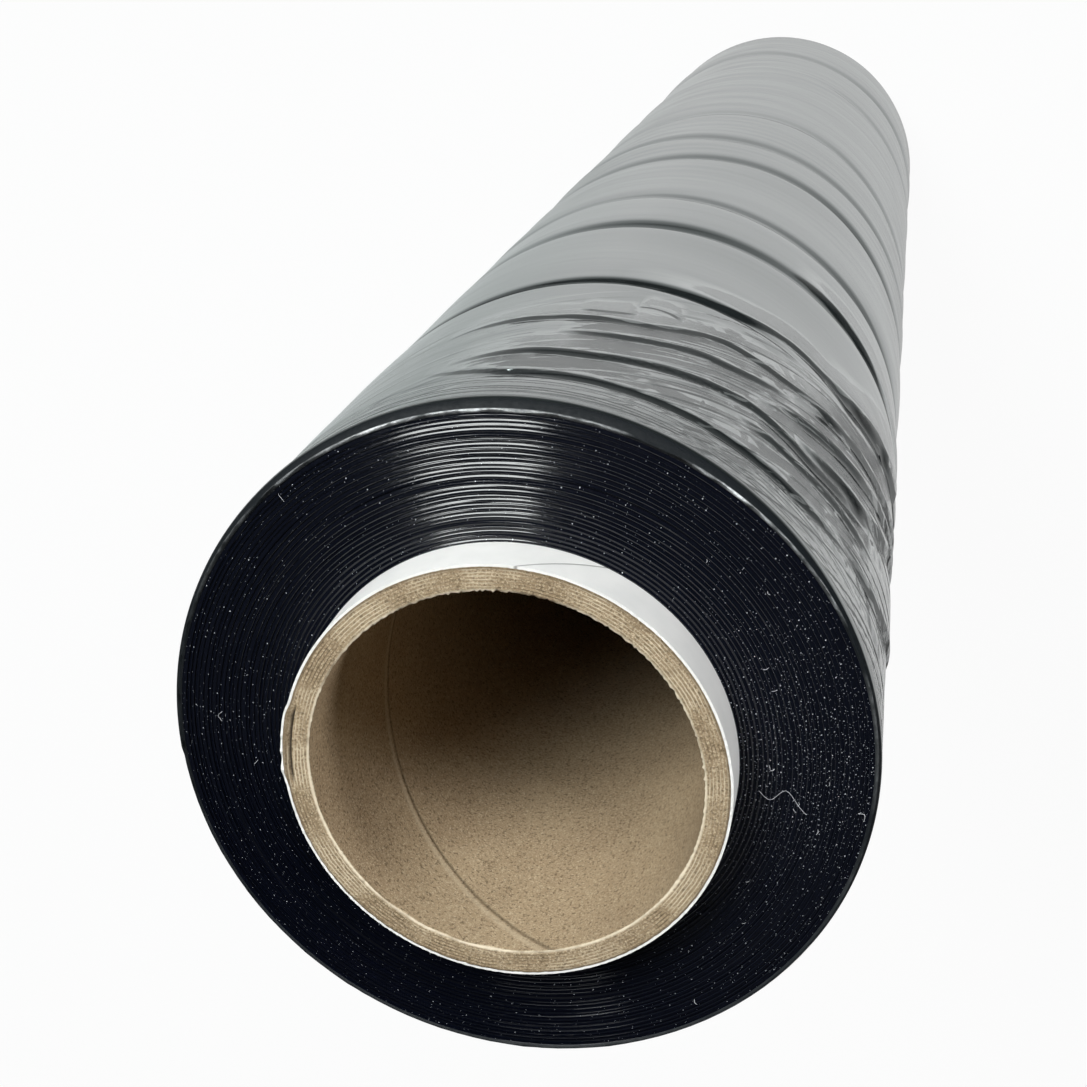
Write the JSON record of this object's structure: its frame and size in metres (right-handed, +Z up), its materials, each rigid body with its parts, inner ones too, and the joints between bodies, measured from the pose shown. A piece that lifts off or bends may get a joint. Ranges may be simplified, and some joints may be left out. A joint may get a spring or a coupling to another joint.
{
  "type": "stretch wrap roll",
  "caption": "Hand roll of black stretch film wound tightly on a paper core whose plain ends stand proud of the film, for wrapping boxes and pallets.",
  "frame": {"origin": "centre of the core's lower end, on the surface that the roll stands on", "axes": "+Z up along the roll's axis; -Y is the side that faces up in the picture"},
  "size_m": [0.093, 0.093, 0.465],
  "materials": {
    "core_board": "uncoated grey-brown kraft board",
    "white_ply": "smooth uncoated white paper",
    "black_film": "glossy black polyethylene film"
  },
  "bodies": {
    "root": {"core_tube": "core_board", "core_outer_ply": "white_ply", "film_roll": "black_film"}
  },
  "joints": []
}
